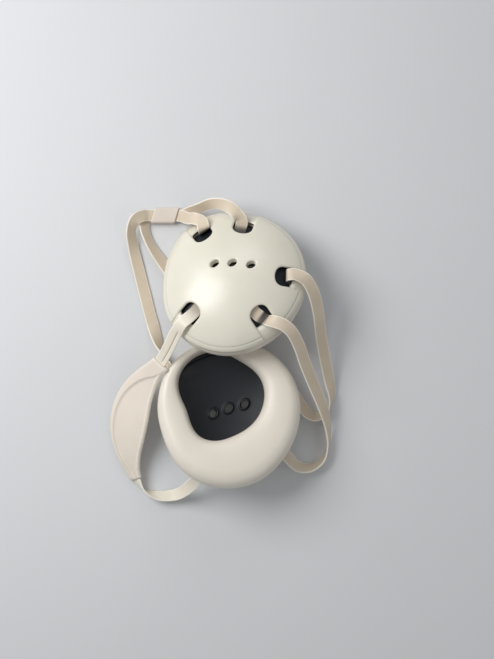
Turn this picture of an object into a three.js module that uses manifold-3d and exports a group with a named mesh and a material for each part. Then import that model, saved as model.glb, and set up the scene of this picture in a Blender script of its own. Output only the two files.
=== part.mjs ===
// A wrestler's head guard: two domed ear cups on padded rings, joined by straps that pass
// through slots near the rims of the cups. It lies as it is put away. The left cup lies dome up
// and leans on the right cup, which lies dome down with its ear opening to the top.
// Millimetres, +Z up. X and Y span the surface that the guard lies on.

import * as THREE from "three";
import { LoftGeometry } from "three/addons/geometries/LoftGeometry.js";
import { mergeVertices } from "three/addons/utils/BufferGeometryUtils.js";
import Module from "manifold-3d";

const wasm = await Module();
wasm.setup();

// Driving dimensions, in millimetres and degrees
const SEAT_GAP = 0.3;

const SHELL_WALL = 2.8;
const SKIRT_HEIGHT = 4;
const CROWN_HEIGHT = 22;
const CROWN_FULLNESS = 0.75;

const LINER_INSET = 6.8;
const LINER_WALL = 1.8;

const PAD_DEPTH = 15;

const SLOT_LENGTH = 18;
const SLOT_WIDTH = 16.5;
const SLOT_SHARE = 0.755;
const SLOT_CORNER = 2.5;

const VENT_LENGTH = 8;
const VENT_WIDTH = 5.8;
const VENT_TURN = 35;
const COLLAR_WALL = 1.8;
const COLLAR_STAND = 1.4;

const STRAP_WIDTH = 10;
const STRAP_THICKNESS = 1.4;
const STRAP_STEP = 5.5;

const KEEPER_LENGTH = 19.5;
const KEEPER_WIDTH = 13;
const KEEPER_HEIGHT = 6.6;
const KEEPER_WALL = 0.8;
const KEEPER_CORNER = 1.8;
const KEEPER_SLANT = 4;
const KEEPER_MIDDLE = { x: -47.5, y: 110.2 };

const CHIN_PAD_HALF_WIDTH = 18.5;
const CHIN_PAD_END_HALF_WIDTH = 6.8;
const CHIN_PAD_THICKNESS = 6.8;
const CHIN_PAD_FLANGE = 4.5;
const CHIN_PAD_FLANGE_THICKNESS = 1.8;
const CHIN_PAD_CLEARANCE = 0.35;

// Facets round a cup, round its liner and round its padded ring
const SHELL_FACETS = 36;
const LINER_FACETS = 24;
const PAD_FACETS = 40;

// The middle of the guard as it lies, which becomes the origin
const LAYOUT_CENTRE = new THREE.Vector3(0.2, -1.2, 0);

// Where each cup lies: the middle of its rim, the lean of its upward axis and its turn about it
const CUP_POSES = {
  left: { x: 10.4, y: 53.2, z: 33.86, leanX: -0.12, leanY: 0.311, turn: 0 },
  right: { x: 7, y: -51.5, z: 27.9, leanX: 0.04, leanY: 0.225, turn: 20 },
};

// Outline of a cup's rim about its axis. Angle 0 is to the rear, 90 to the top of the head.
const RIM_OUTLINE = [
  { angle: 0, radius: 57 },
  { angle: 30, radius: 58.5 },
  { angle: 60, radius: 59 },
  { angle: 90, radius: 60 },
  { angle: 120, radius: 62 },
  { angle: 150, radius: 59.5 },
  { angle: 180, radius: 57.5 },
  { angle: 210, radius: 60 },
  { angle: 240, radius: 60 },
  { angle: 270, radius: 58.5 },
  { angle: 300, radius: 55.5 },
  { angle: 330, radius: 55 },
];

// Outline of the ear opening about a middle that lies off the cup's axis
const EAR_OPENING_MIDDLE = new THREE.Vector2(-2, 14.5);
const EAR_OPENING = [
  { angle: 0, radius: 34 },
  { angle: 45, radius: 32.5 },
  { angle: 90, radius: 38.7 },
  { angle: 135, radius: 38.2 },
  { angle: 180, radius: 30.7 },
  { angle: 225, radius: 37 },
  { angle: 270, radius: 32.6 },
  { angle: 315, radius: 32.8 },
];

// Rings of a dome from its apex to its rim, as shares of the rim's radius
const DOME_SHARES = [0.1, 0.3, 0.5, 0.68, 0.82, 0.92, 0.975, 1];
const LINER_SHARES = [0.14, 0.46, 0.74, 0.93, 1];

// Section of the padded ring: across runs from the ear opening to the rim, depth towards the head
const PAD_SECTION = [
  { across: 1, depth: 0 },
  { across: 1, depth: 0.42 },
  { across: 0.92, depth: 0.74 },
  { across: 0.76, depth: 0.95 },
  { across: 0.6, depth: 1 },
  { across: 0.38, depth: 1 },
  { across: 0.28, depth: 0.98 },
  { across: 0.12, depth: 0.86 },
  { across: 0.02, depth: 0.6 },
  { across: 0, depth: 0.28 },
  { across: 0.08, depth: 0 },
];

const SLOT_ANGLES = {
  crownFront: 124,
  crownRear: 80,
  rearUpper: -1,
  rearLower: -55,
  chin: 222,
};

const VENTS = [
  { u: -13.5, v: 8.5 },
  { u: 1, v: 8.5 },
  { u: 16, v: 7 },
];

// A strap inside its cup and out over the rim: share of the rim's radius, height above the rim, and
// how much of its dive into the slot, its arch over the rim and its shift along the slot it takes there.
// A through strap ends between the shell and the liner, a slanted one does so to one side, and a looped one
// comes back under the rim bar.
const LEADS = {
  through: [
    { share: 0.39, up: 19.3, sink: 0, arch: 0, aside: 0 },
    { share: 0.45, up: 18.5, sink: 0, arch: 0, aside: 0 },
    { share: 0.54, up: 16.8, sink: 0.15, arch: 0, aside: 0.2 },
    { share: 0.615, up: 15, sink: 0.2, arch: 0, aside: 0.6 },
    { share: 0.685, up: 14.5, sink: 0.5, arch: 0, aside: 1 },
    { share: 0.755, up: 14.3, sink: 0.95, arch: 0, aside: 1 },
    { share: 0.825, up: 14.2, sink: 0.75, arch: 0.4, aside: 1 },
    { share: 0.895, up: 13.5, sink: 0, arch: 1, aside: 1 },
    { share: 0.96, up: 12, sink: 0, arch: 1, aside: 1 },
  ],
  slanted: [
    { share: 0.39, up: 19.3, sink: 0, arch: 0, aside: -1 },
    { share: 0.45, up: 18.5, sink: 0, arch: 0, aside: -1 },
    { share: 0.54, up: 16.8, sink: 0.15, arch: 0, aside: -1 },
    { share: 0.615, up: 15, sink: 0.2, arch: 0, aside: -0.95 },
    { share: 0.685, up: 14.5, sink: 0.5, arch: 0, aside: -0.5 },
    { share: 0.755, up: 14.3, sink: 0.95, arch: 0, aside: 0.25 },
    { share: 0.825, up: 14.2, sink: 0.75, arch: 0.4, aside: 1 },
  ],
  looped: [
    { share: 0.916, up: 1.8, sink: 0, arch: 0, aside: 1 },
    { share: 0.906, up: 4.4, sink: 0, arch: 0, aside: 1 },
    { share: 0.876, up: 6.6, sink: 0, arch: 0, aside: 1 },
    { share: 0.833, up: 8.5, sink: 0, arch: 0, aside: 1 },
    { share: 0.788, up: 10.6, sink: 0, arch: 0, aside: 1 },
    { share: 0.757, up: 13.2, sink: 0, arch: 0, aside: 1 },
    { share: 0.765, up: 15.4, sink: 0, arch: 0.5, aside: 1.05 },
    { share: 0.81, up: 15.2, sink: 0, arch: 0.8, aside: 1.6 },
    { share: 0.87, up: 14, sink: 0, arch: 1, aside: 2 },
  ],
};

// The free stretch of each strap between its two cups. Roll 0 lies flat, and a positive roll lifts
// the edge on the right of the way that the strap runs. Each one turns over on its way.
const STRAP_ROUTES = {
  crown_strap_front: {
    slot: "crownFront",
    leave: { lead: "looped", rows: 9, dive: 0, arch: 3, shift: -2.6 },
    arrive: { lead: "through", rows: 9, dive: 0, arch: -1.3, shift: 0 },
    rows: [
      { x: -22.6, y: 105.6, z: 29.4, roll: 0 },
      { x: -26.8, y: 106.2, z: 22.8, roll: 0 },
      { x: -30, y: 107.6, z: 15.2, roll: 0 },
      { x: -33, y: 109.2, z: 8, roll: 0 },
      { x: -36.6, y: 110.1, z: 4.6, roll: 0 },
      { x: -40.5, y: 110.2, z: 4.3, roll: 0 },
      { x: -58, y: 110.2, z: 4.3, roll: 0 },
      { x: -61.4, y: 110.2, z: 5.1, roll: 0 },
      { x: -65.5, y: 109.6, z: 8.2, roll: 6 },
      { x: -71.2, y: 106.2, z: 11.4, roll: 28 },
      { x: -74.8, y: 98, z: 9.4, roll: 46 },
      { x: -74, y: 86, z: 5.2, roll: 36 },
      { x: -70, y: 69, z: 3, roll: 18 },
      { x: -63.8, y: 44, z: 1.6, roll: 6 },
      { x: -57.5, y: 20, z: 1.8, roll: 8 },
      { x: -52.5, y: 4, z: 4.8, roll: 50 },
      { x: -47.5, y: -8, z: 8.5, roll: 110 },
    ],
  },
  crown_strap_rear: {
    slot: "crownRear",
    leave: { lead: "through", rows: 7, dive: 2.6, arch: 5, shift: 2.3 },
    arrive: { lead: "through", rows: 9, dive: 0, arch: -1.4, shift: 0 },
    rows: [
      { x: 11.8, y: 109.2, z: 35.2, roll: 3 },
      { x: 8.3, y: 112.7, z: 35.2, roll: 8 },
      { x: 4, y: 115.4, z: 34, roll: 17 },
      { x: -0.6, y: 117.1, z: 31.8, roll: 27 },
      { x: -5.6, y: 117.95, z: 28.2, roll: 35 },
      { x: -10.4, y: 117.85, z: 23.8, roll: 41 },
      { x: -14.6, y: 116.8, z: 19.4, roll: 44 },
      { x: -18.5, y: 115.6, z: 15.5, roll: 44 },
      { x: -25.5, y: 113.4, z: 6.8, roll: 26 },
      { x: -31, y: 111.1, z: 2.8, roll: 5 },
      { x: -36.2, y: 110.2, z: 2.2, roll: 0 },
      { x: -57.8, y: 110.2, z: 2.2, roll: 0 },
      { x: -61, y: 110, z: 2.2, roll: 0 },
      { x: -63.9, y: 106.6, z: 2.8, roll: 16 },
      { x: -64.3, y: 99.8, z: 4.6, roll: 42 },
      { x: -61.4, y: 90.5, z: 5.4, roll: 50 },
      { x: -56.5, y: 81.5, z: 5, roll: 42 },
      { x: -48.5, y: 70, z: 4, roll: 30 },
      { x: -34, y: 49, z: 3.9, roll: 26 },
      { x: -19, y: 30, z: 5.2, roll: 75 },
      { x: -8, y: 14.5, z: 7, roll: 130 },
    ],
  },
  rear_strap_upper: {
    slot: "rearUpper",
    leave: { lead: "looped", rows: 9, dive: 0, arch: 3, shift: 0.6 },
    arrive: { lead: "through", rows: 9, dive: 0, arch: -0.4, shift: 0 },
    rows: [
      { x: 66, y: 56, z: 54, roll: 4 },
      { x: 72.4, y: 46, z: 48, roll: 10 },
      { x: 76.8, y: 31, z: 37.5, roll: 18 },
      { x: 79.6, y: 12, z: 25, roll: 22 },
      { x: 83.4, y: -7, z: 14.2, roll: 20 },
      { x: 87.6, y: -26, z: 7, roll: 26 },
      { x: 89.5, y: -40, z: 5.6, roll: 62 },
      { x: 85.6, y: -50.5, z: 5.6, roll: 100 },
      { x: 77.5, y: -55.4, z: 6, roll: 130 },
      { x: 69, y: -51.5, z: 9.5, roll: 155 },
    ],
  },
  rear_strap_lower: {
    slot: "rearLower",
    leave: { lead: "slanted", rows: 7, dive: 3.1, arch: 3, shift: 2.4 },
    arrive: { lead: "through", rows: 9, dive: 0, arch: -1, shift: 0 },
    rows: [
      { x: 42, y: 22.4, z: 63.5, roll: 0 },
      { x: 48.5, y: 20, z: 63.5, roll: 2 },
      { x: 54.8, y: 14.6, z: 60.5, roll: 8 },
      { x: 60.8, y: 4, z: 53, roll: 14 },
      { x: 66.4, y: -11, z: 42.5, roll: 18 },
      { x: 74, y: -29, z: 30, roll: 22 },
      { x: 82, y: -48, z: 18.4, roll: 34 },
      { x: 86.5, y: -65, z: 9.4, roll: 60 },
      { x: 86.5, y: -80.5, z: 5.8, roll: 84 },
      { x: 81, y: -92, z: 5.6, roll: 110 },
      { x: 71.5, y: -97, z: 6.4, roll: 132 },
      { x: 61, y: -95, z: 13, roll: 150 },
    ],
  },
  chin_strap: {
    slot: "chin",
    leave: { lead: "through", rows: 8, dive: 0, arch: 1, shift: 1.5 },
    arrive: { lead: "through", rows: 9, dive: 0, arch: -1.3, shift: 0 },
    rows: [
      { x: -36, y: 14, z: 50, roll: 0 },
      { x: -42.5, y: 1.5, z: 44, roll: -6 },
      { x: -49.5, y: -10, z: 36.5, roll: -14 },
      { x: -59.5, y: -22, z: 28.5, roll: -21 },
      { x: -69.5, y: -37.5, z: 20.7, roll: -27 },
      { x: -75.5, y: -55, z: 15.4, roll: -30 },
      { x: -77.5, y: -73, z: 11.9, roll: -30 },
      { x: -76, y: -90, z: 8.9, roll: -32 },
      { x: -71, y: -106, z: 6.2, roll: -46 },
      { x: -63.5, y: -116.4, z: 5.4, roll: -90 },
      { x: -52, y: -120.4, z: 4.6, roll: -136 },
      { x: -38, y: -119, z: 6.5, roll: -155 },
      { x: -27.5, y: -112, z: 18, roll: -168 },
    ],
  },
};

// Rows of the chin strap's route between which the chin pad sits
const CHIN_PAD_FROM_ROW = 2;
const CHIN_PAD_TO_ROW = 8;
const CHIN_PAD_SECTIONS = 15;

// Colours of the moulded shells, the soft rings, the dark liners and the straps
const MATERIALS = {
  shell: new THREE.MeshStandardMaterial({ color: 0xe6e3d8, roughness: 0.35, metalness: 0 }),
  pad: new THREE.MeshStandardMaterial({ color: 0xe2dfd3, roughness: 0.5, metalness: 0 }),
  liner: new THREE.MeshStandardMaterial({ color: 0x1b1e24, roughness: 0.6, metalness: 0 }),
  strap: new THREE.MeshStandardMaterial({ color: 0xd9cfbd, roughness: 0.45, metalness: 0 }),
};

const radians = THREE.MathUtils.degToRad;

// Radius at an angle in degrees, smoothly through a table whose rows are evenly spaced all round
function outlineRadius(table, angle) {
  const step = 360 / table.length;
  const place = THREE.MathUtils.euclideanModulo(angle, 360) / step;
  const row = Math.floor(place);
  const at = (shift) => table[(row + shift + table.length) % table.length].radius;
  const t = place - row;
  const slopeIn = (at(1) - at(-1)) / 2;
  const slopeOut = (at(2) - at(0)) / 2;
  const rise = at(1) - at(0);
  const bend = slopeIn - rise;
  const unbend = rise - slopeOut;
  return at(0) + t * rise + t * (1 - t) * (bend * (1 - t) + unbend * t);
}

// Height of a dome above its rim at a share of the rim's radius, with its surface moved in by inset
function domeHeight(share, inset) {
  return SKIRT_HEIGHT + (CROWN_HEIGHT - inset) * (1 - share * share) ** CROWN_FULLNESS;
}

// One ring of points round a cup
function domeRing(facets, share, inset, height) {
  const ring = [];
  for (let k = 0; k < facets; k++) {
    const angle = (360 * k) / facets;
    const radius = share * (outlineRadius(RIM_OUTLINE, angle) - inset);
    const spot = new THREE.Vector3(radius, 0, height);
    ring.push(spot.applyAxisAngle(new THREE.Vector3(0, 0, 1), radians(angle)));
  }
  return ring;
}

// A closed geometry as a solid that can be cut and joined
function solidOf(geometry) {
  const bare = new THREE.BufferGeometry();
  bare.setAttribute("position", geometry.attributes.position);
  bare.setIndex(geometry.index);
  const merged = mergeVertices(bare, 1e-3);
  return new wasm.Manifold(
    new wasm.Mesh({
      numProp: 3,
      vertProperties: merged.attributes.position.array,
      triVerts: new Uint32Array(merged.index.array),
    }),
  );
}

// A cut or joined solid as a geometry again
function geometryOf(solid) {
  const mesh = solid.getMesh();
  const geometry = new THREE.BufferGeometry();
  geometry.setAttribute("position", new THREE.BufferAttribute(mesh.vertProperties, 3));
  geometry.setIndex(new THREE.BufferAttribute(mesh.triVerts, 1));
  geometry.computeVertexNormals();
  return geometry;
}

// The whole space under a dome whose surface is moved in by inset, down to a foot height
function domeBody(facets, shares, inset, foot) {
  const rings = shares.map((share) => domeRing(facets, share, inset, domeHeight(share, inset)));
  rings.push(domeRing(facets, 1, inset, foot));
  return solidOf(new LoftGeometry(rings.reverse(), { capStart: true, capEnd: true }));
}

// A domed wall, closed over its apex and open at its rim
function domeWall(facets, shares, inset, wall) {
  const hollow = domeBody(facets, shares, inset + wall, -1);
  return domeBody(facets, shares, inset, 0).subtract(hollow);
}

// Outline of a strap slot in the plane of the wall: straight along the rim bar, round at its inner end
function slotShape() {
  const half = SLOT_WIDTH / 2;
  const barEdge = SLOT_LENGTH / 2;
  const roundMiddle = half - SLOT_LENGTH / 2;
  const shape = new THREE.Shape();
  shape.moveTo(roundMiddle, half);
  shape.absarc(roundMiddle, 0, half, Math.PI / 2, (3 * Math.PI) / 2, false);
  shape.lineTo(barEdge - SLOT_CORNER, -half);
  shape.quadraticCurveTo(barEdge, -half, barEdge, SLOT_CORNER - half);
  shape.lineTo(barEdge, half - SLOT_CORNER);
  shape.quadraticCurveTo(barEdge, half, barEdge - SLOT_CORNER, half);
  shape.closePath();
  return shape;
}

// A cutter for the slot at an angle, square to the dome's wall at the middle of the slot
function slotCutter(angle) {
  const cutDepth = 7;
  const probe = 0.01;
  const rim = outlineRadius(RIM_OUTLINE, angle);
  const fall = domeHeight(SLOT_SHARE - probe, 0) - domeHeight(SLOT_SHARE + probe, 0);
  const slope = Math.atan2(fall, 2 * probe * rim);
  const cutter = new THREE.ExtrudeGeometry(slotShape(), {
    depth: 2 * cutDepth,
    bevelEnabled: false,
    curveSegments: 4,
  });
  cutter.translate(0, 0, -cutDepth);
  cutter.rotateY(slope);
  cutter.translate(SLOT_SHARE * rim, 0, domeHeight(SLOT_SHARE, 0));
  cutter.rotateZ(radians(angle));
  return solidOf(cutter);
}

// An oval prism along the cup's axis at a vent, grown by a margin
function ventPrism(vent, margin, bottom, top) {
  const oval = new THREE.Shape();
  const long = VENT_LENGTH / 2 + margin;
  const short = VENT_WIDTH / 2 + margin;
  oval.absellipse(vent.u, vent.v, long, short, 0, 2 * Math.PI, false, radians(VENT_TURN));
  const prism = new THREE.ExtrudeGeometry(oval, {
    depth: top - bottom,
    bevelEnabled: false,
    curveSegments: 5,
  });
  prism.translate(0, 0, bottom);
  return solidOf(prism);
}

const DOME_TOP = SKIRT_HEIGHT + CROWN_HEIGHT;

// The moulded shell with its strap slots and vents
function shellGeometry() {
  let shell = domeWall(SHELL_FACETS, DOME_SHARES, 0, SHELL_WALL);
  for (const angle of Object.values(SLOT_ANGLES)) shell = shell.subtract(slotCutter(angle));
  for (const vent of VENTS) shell = shell.subtract(ventPrism(vent, 0, 0, DOME_TOP + 1));
  return geometryOf(shell);
}

// The dark liner, whose vents have collars that reach up to the shell and stand a little into the cup
function linerGeometry() {
  const wall = domeWall(LINER_FACETS, LINER_SHARES, LINER_INSET, LINER_WALL);
  const underShell = domeBody(SHELL_FACETS, DOME_SHARES, SHELL_WALL + SEAT_GAP, 0);
  let liner = wall;
  for (const vent of VENTS) {
    const share = Math.hypot(vent.u, vent.v) / outlineRadius(RIM_OUTLINE, 0);
    const collarFoot = domeHeight(share, LINER_INSET + LINER_WALL) - COLLAR_STAND;
    liner = liner.add(ventPrism(vent, COLLAR_WALL, collarFoot, DOME_TOP).intersect(underShell));
  }
  for (const vent of VENTS) liner = liner.subtract(ventPrism(vent, 0, 0, DOME_TOP + 1));
  return geometryOf(liner);
}

// The padded ring that seats the cup on the head, round an ear opening that lies off its middle
function padGeometry() {
  const sections = [];
  for (let k = 0; k <= PAD_FACETS; k++) {
    const angle = (360 * (k % PAD_FACETS)) / PAD_FACETS;
    const way = new THREE.Vector2(Math.cos(radians(angle)), Math.sin(radians(angle)));
    const outer = way.clone().multiplyScalar(outlineRadius(RIM_OUTLINE, angle));
    const inner = way.clone().multiplyScalar(outlineRadius(EAR_OPENING, angle));
    inner.add(EAR_OPENING_MIDDLE);
    sections.push(
      PAD_SECTION.map(({ across, depth }) => {
        const spot = inner.clone().lerp(outer, across);
        return new THREE.Vector3(spot.x, spot.y, -SEAT_GAP - depth * PAD_DEPTH);
      }),
    );
  }
  return geometryOf(solidOf(new LoftGeometry(sections)));
}

// A cup's frame as it lies. The right cup mirrors the left one and shows its hollow side.
function cupGroup(side) {
  const pose = CUP_POSES[side];
  const group = new THREE.Group();
  const lift = Math.sqrt(1 - pose.leanX ** 2 - pose.leanY ** 2);
  const axis = new THREE.Vector3(pose.leanX, pose.leanY, lift);
  const lean = new THREE.Quaternion().setFromUnitVectors(new THREE.Vector3(0, 0, 1), axis);
  const turn = new THREE.Quaternion().setFromAxisAngle(new THREE.Vector3(0, 0, 1), radians(pose.turn));
  group.quaternion.copy(lean.multiply(turn));
  group.position.set(pose.x, pose.y, pose.z);
  if (side === "right") group.scale.z = -1;
  group.updateMatrixWorld(true);
  return group;
}

function namedMesh(name, geometry, material) {
  const mesh = new THREE.Mesh(geometry, material);
  mesh.name = name;
  return mesh;
}

function fillCup(group, side) {
  group.add(namedMesh(`${side}_shell`, shellGeometry(), MATERIALS.shell));
  group.add(namedMesh(`${side}_liner`, linerGeometry(), MATERIALS.liner));
  group.add(namedMesh(`${side}_pad`, padGeometry(), MATERIALS.pad));
}

// Points of a strap from its end at a cup out over the rim, with the direction of its width there
function leadStations(group, slot, { lead, rows, dive, arch, shift }) {
  const angle = SLOT_ANGLES[slot];
  const rim = outlineRadius(RIM_OUTLINE, angle);
  const up = new THREE.Vector3(0, 0, 1);
  const width = new THREE.Vector3(0, -1, 0).applyAxisAngle(up, radians(angle));
  width.transformDirection(group.matrixWorld);
  return LEADS[lead].slice(0, rows).map((row) => {
    const height = row.up - row.sink * dive + row.arch * arch;
    const spot = new THREE.Vector3(row.share * rim, row.aside * shift, height);
    spot.applyAxisAngle(up, radians(angle));
    return { spot: spot.applyMatrix4(group.matrixWorld), width };
  });
}

// A whole strap as a smooth line with the direction of its width at each station
function strapLine(route, cups) {
  const leave = leadStations(cups.left, route.slot, route.leave);
  const arrive = leadStations(cups.right, route.slot, route.arrive).reverse();
  const free = route.rows.map(({ x, y, z, roll }) => ({ spot: new THREE.Vector3(x, y, z), roll }));
  const stations = [...leave, ...free, ...arrive];
  const curve = new THREE.CatmullRomCurve3(stations.map((station) => station.spot), false, "centripetal");
  curve.arcLengthDivisions = 1200;
  const widths = stations.map((station, k) => {
    const along = curve.getTangent(k / (stations.length - 1));
    if (station.width) return station.width;
    const side = along.clone().cross(new THREE.Vector3(0, 0, 1)).normalize();
    return side.applyAxisAngle(along, -radians(station.roll));
  });
  return { curve, widths, leadRows: leave.length };
}

// Place, direction, width direction and face direction at a parameter of a strap's line
function strapFrame({ curve, widths }, t) {
  const place = t * (widths.length - 1);
  const row = Math.min(Math.floor(place), widths.length - 2);
  const along = curve.getTangent(t);
  const across = widths[row].clone().lerp(widths[row + 1], place - row);
  across.addScaledVector(along, -across.dot(along)).normalize();
  const face = across.clone().cross(along);
  return { spot: curve.getPoint(t), across, face };
}

// A flat band of rectangular section along a strap's line
function bandSolid(line, width, thickness) {
  const spans = line.widths.length - 1;
  const places = [];
  for (let span = 0; span < spans; span++) {
    const length = line.curve.getPoint(span / spans).distanceTo(line.curve.getPoint((span + 1) / spans));
    const steps = Math.ceil(length / STRAP_STEP);
    for (let k = 0; k < steps; k++) places.push((span + k / steps) / spans);
  }
  places.push(1);
  const sections = places.map((place) => {
    const { spot, across, face } = strapFrame(line, place);
    across.multiplyScalar(width / 2);
    face.multiplyScalar(thickness / 2);
    const corner = (w, t) => spot.clone().addScaledVector(across, w).addScaledVector(face, t);
    return [corner(-1, -1), corner(-1, 1), corner(1, 1), corner(1, -1)];
  });
  return solidOf(new LoftGeometry(sections, { capStart: true, capEnd: true }));
}

// The leaf-shaped chin pad: a soft middle inside a thin welded flange, with the strap's channel through it
function chinPadGeometry(line) {
  const rows = line.widths.length - 1;
  const from = (line.leadRows + CHIN_PAD_FROM_ROW) / rows;
  const to = (line.leadRows + CHIN_PAD_TO_ROW) / rows;
  const thin = CHIN_PAD_FLANGE_THICKNESS / 2;
  const sections = [];
  for (let k = 0; k <= CHIN_PAD_SECTIONS; k++) {
    const share = k / CHIN_PAD_SECTIONS;
    const swell = Math.sin(Math.PI * share) ** 1.6;
    const half = THREE.MathUtils.lerp(CHIN_PAD_END_HALF_WIDTH, CHIN_PAD_HALF_WIDTH, swell);
    const thick = THREE.MathUtils.lerp(CHIN_PAD_THICKNESS * 0.75, CHIN_PAD_THICKNESS, swell) / 2;
    const weld = half - CHIN_PAD_FLANGE * swell;
    const upper = [
      [-half, thin],
      [-weld, thin],
      [-weld * 0.86, thick * 0.8],
      [-weld * 0.5, thick],
      [weld * 0.5, thick],
      [weld * 0.86, thick * 0.8],
      [weld, thin],
      [half, thin],
    ];
    const outline = [...upper, ...upper.map(([w, t]) => [-w, -t])];
    const { spot, across, face } = strapFrame(line, THREE.MathUtils.lerp(from, to, share));
    sections.push(outline.map(([w, t]) => spot.clone().addScaledVector(across, w).addScaledVector(face, t)));
  }
  const pad = solidOf(new LoftGeometry(sections, { capStart: true, capEnd: true }));
  const channelWidth = STRAP_WIDTH + 2 * CHIN_PAD_CLEARANCE;
  const channelThickness = STRAP_THICKNESS + 2 * CHIN_PAD_CLEARANCE;
  return geometryOf(pad.subtract(bandSolid(line, channelWidth, channelThickness)));
}

// The flat sleeve with slanted ends that gathers both crown straps, lying on the surface
function keeperMesh() {
  const sleeve = new THREE.Shape();
  const rounded = (path, width, height, corner) => {
    const w = width / 2 - corner;
    const h = height / 2 - corner;
    path.absarc(w, h, corner, 0, Math.PI / 2, false);
    path.absarc(-w, h, corner, Math.PI / 2, Math.PI, false);
    path.absarc(-w, -h, corner, Math.PI, (3 * Math.PI) / 2, false);
    path.absarc(w, -h, corner, (3 * Math.PI) / 2, 2 * Math.PI, false);
    path.closePath();
    return path;
  };
  rounded(sleeve, KEEPER_WIDTH, KEEPER_HEIGHT, KEEPER_CORNER);
  const innerWidth = KEEPER_WIDTH - 2 * KEEPER_WALL;
  const innerHeight = KEEPER_HEIGHT - 2 * KEEPER_WALL;
  sleeve.holes.push(rounded(new THREE.Path(), innerWidth, innerHeight, KEEPER_CORNER - KEEPER_WALL));
  const geometry = new THREE.ExtrudeGeometry(sleeve, {
    depth: KEEPER_LENGTH,
    bevelEnabled: false,
    curveSegments: 3,
  });
  geometry.translate(0, 0, -KEEPER_LENGTH / 2);
  geometry.rotateX(Math.PI / 2);
  geometry.rotateZ(Math.PI / 2);
  geometry.applyMatrix4(new THREE.Matrix4().makeShear(0, 0, KEEPER_SLANT / KEEPER_WIDTH, 0, 0, 0));
  const mesh = namedMesh("crown_keeper", geometry, MATERIALS.strap);
  mesh.position.set(KEEPER_MIDDLE.x, KEEPER_MIDDLE.y, KEEPER_HEIGHT / 2);
  return mesh;
}

const headGuard = new THREE.Group();
const cups = { left: cupGroup("left"), right: cupGroup("right") };
for (const [side, group] of Object.entries(cups)) {
  fillCup(group, side);
  headGuard.add(group);
}

for (const [name, route] of Object.entries(STRAP_ROUTES)) {
  const line = strapLine(route, cups);
  const band = bandSolid(line, STRAP_WIDTH, STRAP_THICKNESS);
  headGuard.add(namedMesh(name, geometryOf(band), MATERIALS.strap));
  if (name === "chin_strap") headGuard.add(namedMesh("chin_pad", chinPadGeometry(line), MATERIALS.strap));
}
headGuard.add(keeperMesh());

headGuard.position.copy(LAYOUT_CENTRE).negate();

export default headGuard;
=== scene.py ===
import math

import bmesh
import bpy
import numpy as np
from mathutils import Matrix, Vector
from mathutils.geometry import delaunay_2d_cdt


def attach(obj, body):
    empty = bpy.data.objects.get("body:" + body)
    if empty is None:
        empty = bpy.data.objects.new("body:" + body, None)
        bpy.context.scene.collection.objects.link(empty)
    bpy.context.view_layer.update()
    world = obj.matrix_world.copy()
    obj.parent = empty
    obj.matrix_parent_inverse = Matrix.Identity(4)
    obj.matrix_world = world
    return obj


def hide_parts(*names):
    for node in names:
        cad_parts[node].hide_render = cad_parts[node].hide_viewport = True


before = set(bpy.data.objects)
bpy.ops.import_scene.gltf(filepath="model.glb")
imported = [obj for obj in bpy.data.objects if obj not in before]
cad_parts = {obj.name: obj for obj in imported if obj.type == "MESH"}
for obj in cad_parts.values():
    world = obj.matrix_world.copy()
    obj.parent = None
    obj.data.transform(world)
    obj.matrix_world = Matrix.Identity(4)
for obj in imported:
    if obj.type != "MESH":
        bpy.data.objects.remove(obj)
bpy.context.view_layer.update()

# Driving dimensions of the guard, in millimetres and degrees, as in the part
MM = 0.001
SEAT_GAP = 0.3

SHELL_WALL = 2.8
SKIRT_HEIGHT = 4.0
CROWN_HEIGHT = 22.0
CROWN_FULLNESS = 0.75

LINER_INSET = 6.8
LINER_WALL = 1.8

PAD_DEPTH = 15.0

SLOT_LENGTH = 18.0
SLOT_WIDTH = 16.5
SLOT_SHARE = 0.755
SLOT_CORNER = 2.5

VENT_LENGTH = 8.0
VENT_WIDTH = 5.8
VENT_TURN = 35.0
COLLAR_WALL = 1.8
COLLAR_STAND = 1.4

STRAP_WIDTH = 10.0
STRAP_THICKNESS = 1.4

KEEPER_LENGTH = 19.5
KEEPER_WIDTH = 13.0
KEEPER_HEIGHT = 6.6
KEEPER_WALL = 0.8
KEEPER_CORNER = 1.8
KEEPER_SLANT = 4.0
KEEPER_MIDDLE = (-47.5, 110.2)

CHIN_PAD_HALF_WIDTH = 18.5
CHIN_PAD_END_HALF_WIDTH = 6.8
CHIN_PAD_THICKNESS = 6.8
CHIN_PAD_FLANGE_THICKNESS = 1.8
CHIN_PAD_CLEARANCE = 0.35
CHIN_PAD_FROM_ROW = 2
CHIN_PAD_TO_ROW = 8

LAYOUT_CENTRE = np.array([0.2, -1.2, 0.0])

CUP_POSES = {
    "left": {"x": 10.4, "y": 53.2, "z": 33.86, "lean_x": -0.12, "lean_y": 0.311, "turn": 0},
    "right": {"x": 7, "y": -51.5, "z": 27.9, "lean_x": 0.04, "lean_y": 0.225, "turn": 20},
}

# Radii of a cup's rim every 30 degrees, and of the ear opening every 45 degrees about its own middle
RIM_RADII = (57, 58.5, 59, 60, 62, 59.5, 57.5, 60, 60, 58.5, 55.5, 55)
EAR_RADII = (34, 32.5, 38.7, 38.2, 30.7, 37, 32.6, 32.8)
EAR_MIDDLE = np.array([-2.0, 14.5])

# Section of the padded ring: (across, depth), from the rim round the head side to the opening
PAD_SECTION = (
    (1.0, 0.0),
    (1.0, 0.42),
    (0.92, 0.74),
    (0.77, 0.94),
    (0.6, 1.0),
    (0.43, 0.995),
    (0.27, 0.95),
    (0.12, 0.84),
    (0.025, 0.6),
    (0.0, 0.3),
    (0.08, 0.0),
)

SLOT_ANGLES = {"crown_front": 124, "crown_rear": 80, "rear_upper": -1, "rear_lower": -55, "chin": 222}
VENTS = ((-13.5, 8.5), (1.0, 8.5), (16.0, 7.0))

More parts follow.
